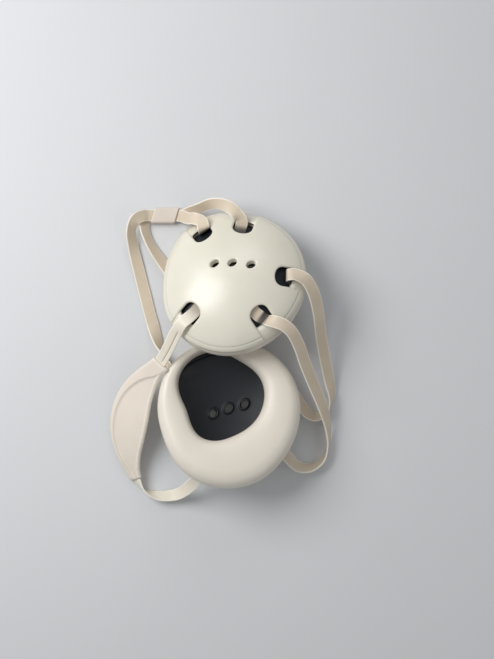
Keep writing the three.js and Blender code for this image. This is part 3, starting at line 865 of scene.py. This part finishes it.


# A strap as a band with rounded edges; grooved is the stretch of its length with a line along it, painted
# shade in its groove, and shaded gives the stations between which painted shade darkens it and fades again,
# where it goes down into the slot
def strap_mesh(name, grooved, shaded):
    stations, widths, _ = strap_line(name)
    t, run = even_parameters(stations, STRAP_STEP)
    spot, across, face = strap_frames(stations, widths, t)
    section = band_section()
    start, end = grooved
    deep = smooth_step(start, start + GROOVE_FADE, run) - smooth_step(end - GROOVE_FADE, end, run)
    rings = []
    for k in range(len(t)):
        thick = section[:, 1:2] * STRAP_THICKNESS - GROOVE_DEPTH * deep[k] * section[:, 2:]
        rings.append(spot[k] + section[:, :1] * STRAP_WIDTH * across[k] + thick * face[k])
    points = np.vstack(rings)
    points[:, 2] = np.maximum(points[:, 2], STRAP_CLEARANCE)
    size = len(section)
    faces = ring_faces(len(rings), size, False)
    faces.append(tuple(range(size)))
    faces.append(tuple(range((len(rings) - 1) * size, len(rings) * size)))
    uv = np.column_stack([np.tile(section[:, 0] * STRAP_WIDTH, len(rings)), np.repeat(run, size)])
    # Pale cut edges, partly a painted highlight along them
    edge = np.clip((np.abs(uv[:, 0]) - CUT_EDGE_HIGHLIGHT_FROM) / CUT_EDGE_HIGHLIGHT_WIDTH, 0, 1)
    # Painted shade where the strap goes down into the slot, and in its groove
    place = t * (len(stations) - 1)
    dims_from, dark_from, dark_to, pale_from = shaded
    painted_slot_shade = smooth_step(dims_from, dark_from, place) * smooth_step(pale_from, dark_to, place)
    crease = np.maximum(section[None, :, 2] * deep[:, None], painted_slot_shade[:, None]).ravel()
    return points, faces, {"edge": edge, "crease": crease}, uv


# The leaf-shaped chin pad, with the strap's channel through it. The side that shows has a raised band along
# one edge, a fold line beside it darkened by painted shade, a flatter panel and a lip along the other edge.
def chin_pad_mesh():
    stations, widths, lead = strap_line("chin_strap")
    rows = len(stations) - 1
    share = np.linspace(0, 1, CHIN_PAD_STEPS + 1)
    t = (lead + CHIN_PAD_FROM_ROW + share * (CHIN_PAD_TO_ROW - CHIN_PAD_FROM_ROW)) / rows
    spot, across, face = strap_frames(stations, widths, t)
    thin = CHIN_PAD_FLANGE_THICKNESS / 2
    reach = STRAP_WIDTH / 2 + CHIN_PAD_CLEARANCE
    depth = STRAP_THICKNESS / 2 + CHIN_PAD_CLEARANCE
    side = 1 - np.cos(np.linspace(0, math.pi / 2, CHIN_PAD_SIDE_STEPS))
    across_shares = np.concatenate([side - 1, 1 - side[-2::-1]])
    fold_share, fold_across = np.array(CHIN_FOLD).T
    fold = np.pad(np.interp(share, fold_share, fold_across), CHIN_FOLD_ROWS, mode="edge")
    window = 2 * CHIN_FOLD_ROWS + 1
    fold = np.convolve(fold, np.ones(window) / window, mode="valid")
    outer = []
    inner = []
    painted_fold_shades = []
    edges = []
    for k in range(CHIN_PAD_STEPS + 1):
        from_end = min(share[k], 1 - share[k])
        swell = math.sin(math.pi * share[k]) ** CHIN_SWELL
        half = CHIN_PAD_END_HALF_WIDTH + (CHIN_PAD_HALF_WIDTH - CHIN_PAD_END_HALF_WIDTH) * swell
        thick = CHIN_PAD_THICKNESS * (CHIN_END_SHARE + (1 - CHIN_END_SHARE) * swell) / 2
        mouth = CHIN_MOUTH_SHARE + (1 - CHIN_MOUTH_SHARE) * smooth_step(0, CHIN_MOUTH_LENGTH, from_end)
        flare = CHIN_FLARE * math.exp(-((share[k] / CHIN_FLARE_LENGTH) ** 2))
        w = across_shares * half
        crown = thin + (thick - thin) * (1 - np.abs(across_shares) ** CHIN_CROWN) ** 0.5
        from_edge = half - np.abs(w)
        rounded = np.sqrt(1 - (1 - np.clip(from_edge / CHIN_ROUND, 0, 1)) ** 2)
        past_fold = fold[k] * half - w
        panel = smooth_step(*CHIN_PANEL_STEP, past_fold)
        lip = np.where(w < 0, smooth_step(CHIN_LIP, CHIN_LIP - CHIN_LIP_SLOPE, from_edge), 0)
        line = np.exp(-((past_fold / CHIN_LINE_WIDTH) ** 2)) * min(1.0, 12 * swell)
        relief = 1 - CHIN_PANEL_SINK * panel * (1 - CHIN_LIP_RISE * lip)
        height = (crown * relief * mouth - CHIN_LINE_DEPTH * line) * rounded
        lower = -(crown * mouth * rounded)[1:-1][::-1]
        wide = np.where(w < 0, w - flare * (w / half) ** 4, w)
        shown = np.column_stack([wide, np.maximum(height, 0)])
        loop = np.vstack([shown, np.column_stack([wide[1:-1][::-1], lower])])
        outer.append(spot[k] + loop[:, :1] * across[k] + loop[:, 1:] * face[k])
        sideways = np.clip(loop[:, 0] / half * CHIN_CHANNEL_SPREAD, -1, 1) * reach
        upright = np.sign(loop[:, 1]) * depth
        inner.append(spot[k] + np.outer(sideways, across[k]) + np.outer(upright, face[k]))
        worn = np.where(w < 0, lip, smooth_step(*CHIN_WORN_STEP, from_edge))
        # Painted shade along the fold line
        painted_fold_shades.append(fill_mark(loop, line))
        edges.append(fill_mark(loop, worn))
    rings = outer + inner[::-1]
    points = np.vstack(rings)
    marks = {"crease": fill_mark(points, *painted_fold_shades), "edge": fill_mark(points, *edges)}
    return points, ring_faces(len(rings), len(rings[0]), True), marks


# A rounded rectangle's points about its middle
def rounded_rectangle(width, height, corner):
    points = []
    for k, (sx, sy) in enumerate(((1, 1), (-1, 1), (-1, -1), (1, -1))):
        for a in np.radians(np.linspace(90 * k, 90 * k + 90, KEEPER_CORNER_STEPS)):
            x = sx * (width / 2 - corner) + corner * math.cos(a)
            y = sy * (height / 2 - corner) + corner * math.sin(a)
            points.append((x, y))
    return np.array(points)


# The flat sleeve that gathers both crown straps, with slanted and rounded ends
def keeper_mesh():
    half = KEEPER_LENGTH / 2
    stations = [(-half + distance, cut) for distance, cut in KEEPER_END_ROWS]
    stations += [(x, 0.0) for x in np.linspace(-half + KEEPER_END, half - KEEPER_END, KEEPER_RINGS)]
    stations += [(half - distance, cut) for distance, cut in reversed(KEEPER_END_ROWS)]
    outer = []
    inner = []
    for x, cut in stations:
        for rings, inset in ((outer, KEEPER_WALL * cut), (inner, KEEPER_WALL * (1 - KEEPER_MOUTH * cut))):
            width = KEEPER_WIDTH - 2 * inset
            loop = rounded_rectangle(width, KEEPER_HEIGHT - 2 * inset, KEEPER_CORNER - inset)
            rings.append(np.column_stack([np.full(len(loop), x), loop]))
    rings = outer + inner[::-1]
    points = np.vstack(rings)
    points[:, 0] += KEEPER_SLANT / KEEPER_WIDTH * points[:, 1]
    points += (*KEEPER_MIDDLE, KEEPER_HEIGHT / 2)
    return points, ring_faces(len(rings), len(rings[0]), True)


# A new node material with its tree and its shader
def new_material(name):
    material = bpy.data.materials.new(name)
    material.use_nodes = True
    return material, material.node_tree, material.node_tree.nodes["Principled BSDF"]


# A new node with numbers on some of its sockets
def add_node(tree, kind, numbers):
    node = tree.nodes.new(kind)
    for socket, number in numbers.items():
        node.inputs[socket].default_value = number
    return node


def add_noise(tree, coordinates, scale, detail, roughness=0.5):
    numbers = {"Scale": scale, "Detail": detail, "Roughness": roughness}
    noise = add_node(tree, "ShaderNodeTexNoise", numbers)
    tree.links.new(coordinates, noise.inputs["Vector"])
    return noise.outputs["Fac"]


# Maps a value from one range to another
def add_range(tree, value, source, target=(0, 1)):
    numbers = dict(zip(("From Min", "From Max", "To Min", "To Max"), (*source, *target)))
    node = add_node(tree, "ShaderNodeMapRange", numbers)
    tree.links.new(value, node.inputs["Value"])
    return node.outputs["Result"]


# Mixes two colours, each a constant or another node's
def add_mix(tree, factor, first, second):
    mix = tree.nodes.new("ShaderNodeMix")
    mix.data_type = "RGBA"
    tree.links.new(factor, mix.inputs["Factor"])
    for socket, colour in ((mix.inputs["A"], first), (mix.inputs["B"], second)):
        if isinstance(colour, tuple):
            socket.default_value = (*colour, 1)
        else:
            tree.links.new(colour, socket)
    return mix.outputs["Result"]


def add_bump(tree, height, strength, distance, below=None):
    bump = add_node(tree, "ShaderNodeBump", {"Strength": strength, "Distance": distance})
    tree.links.new(height, bump.inputs["Height"])
    if below is not None:
        tree.links.new(below, bump.inputs["Normal"])
    return bump.outputs["Normal"]


# A mark that the mesh carries
def add_mark(tree, name):
    attribute = tree.nodes.new("ShaderNodeAttribute")
    attribute.attribute_name = name
    return attribute.outputs["Fac"]


def add_product(tree, first, second):
    product = tree.nodes.new("ShaderNodeMath")
    product.operation = "MULTIPLY"
    tree.links.new(first, product.inputs[0])
    tree.links.new(second, product.inputs[1])
    return product.outputs["Value"]


# Moulded or skinned surfaces: two tones in soft clouds, a worn tone along edges, painted shade in creases, a
# pale tone where the mesh asks for it, fine grain and a soft sheen
def skin_material(name, tone, cloud, worn, shaded, roughness, grain, coat):
    material, tree, shader = new_material(name)
    place = tree.nodes.new("ShaderNodeTexCoord").outputs["Object"]
    clouds = add_noise(tree, place, scale=38, detail=4, roughness=0.55)
    colour = add_mix(tree, add_range(tree, clouds, (0.35, 0.68)), tone, cloud)
    scuffs = add_noise(tree, place, scale=420, detail=3, roughness=0.6)
    wear = add_product(tree, add_mark(tree, "edge"), add_range(tree, scuffs, (0.3, 0.7), (0.15, 0.75)))
    colour = add_mix(tree, wear, colour, worn)
    # Painted shade: the mesh's shade mark darkens creases towards the shaded tone
    fold = add_range(tree, add_mark(tree, "crease"), (0, 1), (0, CREASE_SHADE))
    colour = add_mix(tree, fold, colour, shaded)
    colour = add_mix(tree, add_range(tree, add_mark(tree, "pale"), PALE_STEP), colour, PALE_TONE)
    tree.links.new(colour, shader.inputs["Base Color"])
    patches = add_noise(tree, place, scale=95, detail=3)
    gloss = add_range(tree, patches, (0.3, 0.7), (roughness - 0.05, roughness + 0.06))
    tree.links.new(gloss, shader.inputs["Roughness"])
    ripples = add_noise(tree, place, scale=160, detail=2)
    ripples = add_bump(tree, ripples, strength=0.05, distance=0.0006)
    fine = add_noise(tree, place, scale=2600, detail=2)
    fine = add_bump(tree, fine, strength=grain, distance=0.00012, below=ripples)
    tree.links.new(fine, shader.inputs["Normal"])
    shader.inputs["Coat Weight"].default_value = coat
    shader.inputs["Coat Roughness"].default_value = 0.25
    return material


# Coated webbing: a fine weave pressed through the coat, pale cut edges that are partly a painted highlight,
# soft clouds of tone, and painted shade in its groove and where it goes down into a slot
def strap_material(name, tone, cloud, cut, shaded):
    material, tree, shader = new_material(name)
    coordinates = tree.nodes.new("ShaderNodeTexCoord")
    place = coordinates.outputs["Object"]
    clouds = add_noise(tree, place, scale=55, detail=4, roughness=0.6)
    colour = add_mix(tree, add_range(tree, clouds, (0.35, 0.7)), tone, cloud)
    # Pale cut edges, partly a painted edge highlight
    colour = add_mix(tree, add_mark(tree, "edge"), colour, cut)
    # Painted shade in the groove and where the strap goes down into a slot
    colour = add_mix(tree, add_mark(tree, "crease"), colour, shaded)
    tree.links.new(colour, shader.inputs["Base Color"])
    ribs = []
    for direction, scale in (("X", 620), ("Y", 520)):
        wave = add_node(tree, "ShaderNodeTexWave", {"Scale": scale, "Distortion": 0.4})
        wave.bands_direction = direction
        tree.links.new(coordinates.outputs["UV"], wave.inputs["Vector"])
        ribs.append(wave.outputs["Fac"])
    pressed = add_bump(tree, add_product(tree, *ribs), strength=0.16, distance=0.00015)
    waves = add_noise(tree, place, scale=240, detail=3)
    waves = add_bump(tree, waves, strength=0.1, distance=0.0005, below=pressed)
    tree.links.new(waves, shader.inputs["Normal"])
    patches = add_noise(tree, place, scale=120, detail=3)
    tree.links.new(add_range(tree, patches, (0.3, 0.7), (0.4, 0.56)), shader.inputs["Roughness"])
    shader.inputs["Sheen Weight"].default_value = 0.08
    return material


# The pale tone of the liner, the values of its mark between which it turns pale, and how far painted shade
# darkens creases
PALE_TONE = (0.78, 0.755, 0.65)
PALE_STEP = (0.47, 0.57)
CREASE_SHADE = 0.36

# Skinned and moulded surfaces; shaded is the tone of the painted shade in creases
SKINS = {
    "shell": {
        "tone": (0.775, 0.74, 0.63),
        "cloud": (0.74, 0.705, 0.59),
        "worn": (0.81, 0.78, 0.67),
        "shaded": (0.42, 0.4, 0.34),
        "roughness": 0.33,
        "grain": 0.05,
        "coat": 0.28,
    },
    "pad": {
        "tone": (0.79, 0.735, 0.64),
        "cloud": (0.76, 0.7, 0.6),
        "worn": (0.74, 0.69, 0.59),
        "shaded": (0.4, 0.38, 0.32),
        "roughness": 0.42,
        "grain": 0.14,
        "coat": 0.1,
    },
    "liner": {
        "tone": (0.0055, 0.007, 0.012),
        "cloud": (0.008, 0.01, 0.0155),
        "worn": (0.013, 0.014, 0.018),
        "shaded": (0.004, 0.004, 0.006),
        "roughness": 0.5,
        "grain": 0.2,
        "coat": 0,
    },
    "chin_pad": {
        "tone": (0.785, 0.71, 0.615),
        "cloud": (0.745, 0.67, 0.57),
        "worn": (0.87, 0.82, 0.73),
        "shaded": (0.36, 0.31, 0.25),
        "roughness": 0.4,
        "grain": 0.12,
        "coat": 0.12,
    },
    "keeper": {
        "tone": (0.73, 0.645, 0.57),
        "cloud": (0.69, 0.605, 0.525),
        "worn": (0.77, 0.695, 0.615),
        "shaded": (0.4, 0.35, 0.3),
        "roughness": 0.34,
        "grain": 0.06,
        "coat": 0.2,
    },
}

# Straps of coated webbing, the chin strap the palest, partly by painted glare; cut is the pale cut edge,
# partly a painted highlight, and shaded the tone of painted shade in grooves and slots
STRAPS = {
    "strap": {
        "tone": (0.7, 0.6, 0.465),
        "cloud": (0.66, 0.56, 0.425),
        "cut": (0.88, 0.82, 0.71),
        "shaded": (0.06, 0.052, 0.045),
    },
    "chin_strap": {
        "tone": (0.83, 0.77, 0.65),
        "cloud": (0.8, 0.74, 0.615),
        "cut": (0.9, 0.86, 0.76),
        "shaded": (0.36, 0.31, 0.24),
    },
}
MATERIALS = {name: skin_material(f"{name}_skin", **look) for name, look in SKINS.items()}
MATERIALS.update({name: strap_material(f"{name}_webbing", **look) for name, look in STRAPS.items()})


# A new object in the scene
def add_object(name, data):
    made = bpy.data.objects.new(name, data)
    bpy.context.scene.collection.objects.link(made)
    return made


# Makes a piece that stands for a node
def make_piece(name, node, slot, look, points, faces, marks=None, uv=None):
    points = points - LAYOUT_CENTRE
    points[:, 2] = np.maximum(points[:, 2], 0)
    mesh = bpy.data.meshes.new(name)
    mesh.from_pydata((points * MM).tolist(), [], faces)
    mesh.update()
    for key, values in (marks or {}).items():
        mesh.attributes.new(key, "FLOAT", "POINT").data.foreach_set("value", values.astype(np.float32))
    if uv is not None:
        corners = np.zeros(len(mesh.loops), dtype=np.int32)
        mesh.loops.foreach_get("vertex_index", corners)
        layer = mesh.uv_layers.new(name="weave")
        layer.data.foreach_set("uv", (uv[corners] * MM).astype(np.float32).ravel())
    shape = bmesh.new()
    shape.from_mesh(mesh)
    bmesh.ops.recalc_face_normals(shape, faces=shape.faces)
    shape.to_mesh(mesh)
    shape.free()
    mesh.shade_smooth()
    mesh.materials.append(MATERIALS[look])
    piece = add_object(name, mesh)
    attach(piece, "root")
    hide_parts(node)
    return piece


shell = shell_mesh()
liner = liner_mesh()
pad = pad_mesh()
for side in CUP_POSES:
    for kind, (points, *form) in (("shell", shell), ("liner", liner), ("pad", pad)):
        piece = make_piece(f"{side}_{kind}_form", f"{side}_{kind}", kind, kind, in_cup(side, points), *form)

# Straps: the stretch of the length with a line along it, and the stations between which painted shade
# darkens it where it goes down into a slot, and fades again. A stretch before the strap's start leaves it
# plain.
PLAIN = (-20, -10)
STRAP_MARKS = {
    "crown_strap_front": {"grooved": PLAIN, "shaded": (1, 2, 5.2, 6.4)},
    "crown_strap_rear": {"grooved": PLAIN, "shaded": (1, 2, 3.6, 6.2)},
    "rear_strap_upper": {"grooved": PLAIN, "shaded": (1, 2, 5.2, 6.6)},
    "rear_strap_lower": {"grooved": PLAIN, "shaded": (4.1, 4.6, 5.55, 6.1)},
    "chin_strap": {"grooved": (38, 72), "shaded": (1, 2, 3, 6.2)},
}
for name, marks in STRAP_MARKS.items():
    # The chin strap takes a paler copy of the webbing, its paleness partly painted glare
    look = "chin_strap" if name == "chin_strap" else "strap"
    make_piece(f"{name}_band", name, "strap", look, *strap_mesh(name, **marks))

cushion = make_piece("chin_cushion", "chin_pad", "chin_pad", "chin_pad", *chin_pad_mesh())
make_piece("crown_sleeve", "crown_keeper", "keeper", "keeper", *keeper_mesh())


# The pale floor
def floor_material():
    material, tree, shader = new_material("floor_pale")
    place = tree.nodes.new("ShaderNodeTexCoord").outputs["Object"]
    clouds = add_noise(tree, place, scale=6, detail=3)
    colour = add_mix(tree, clouds, (0.66, 0.67, 0.685), (0.69, 0.7, 0.715))
    tree.links.new(colour, shader.inputs["Base Color"])
    shader.inputs["Roughness"].default_value = 0.75
    return material


FLOOR_HALF = 2
floor_corners = [(x * FLOOR_HALF, y * FLOOR_HALF, 0) for x, y in ((-1, -1), (1, -1), (1, 1), (-1, 1))]
floor_mesh = bpy.data.meshes.new("floor")
floor_mesh.from_pydata(floor_corners, [], [(0, 1, 2, 3)])
floor_mesh.materials.append(floor_material())
floor = add_object("floor", floor_mesh)


# Soft studio light: (name, place, width, power), each turned to the guard
LIGHT_TARGET = Vector((0, 0, 0.02))
LIGHTS = (
    ("key", (-0.55, 0.32, 0.68), 0.6, 6.2),
    ("fill", (0.9, -0.35, 1.1), 0.9, 1.1),
    ("back", (0.1, 1.15, 0.8), 0.6, 1.6),
)
for name, place, width, power in LIGHTS:
    lamp = bpy.data.lights.new(name, "AREA")
    lamp.shape = "DISK"
    lamp.size = width
    lamp.energy = power
    light = add_object(name, lamp)
    light.location = place
    light.rotation_euler = (LIGHT_TARGET - Vector(place)).to_track_quat("-Z", "Y").to_euler()

world = bpy.data.worlds.new("studio")
world.use_nodes = True
world.node_tree.nodes["Background"].inputs["Color"].default_value = (0.96, 0.975, 1.0, 1)
world.node_tree.nodes["Background"].inputs["Strength"].default_value = 0.34
bpy.context.scene.world = world
bpy.context.scene.view_settings.view_transform = "Standard"

# The camera looks straight down, as in the photograph
VIEW_DISTANCE = 1.1
VIEW_LEVEL = 0.035
VIEW_HEIGHT = 0.5272
VIEW_MIDDLE = (0.0198, 0.0176)
SENSOR = 36
camera_data = bpy.data.cameras.new("camera")
camera_data.sensor_fit = "VERTICAL"
camera_data.sensor_height = SENSOR
camera_data.lens = SENSOR * VIEW_DISTANCE / VIEW_HEIGHT
camera = add_object("camera", camera_data)
camera.location = (*VIEW_MIDDLE, VIEW_LEVEL + VIEW_DISTANCE)
bpy.context.scene.camera = camera
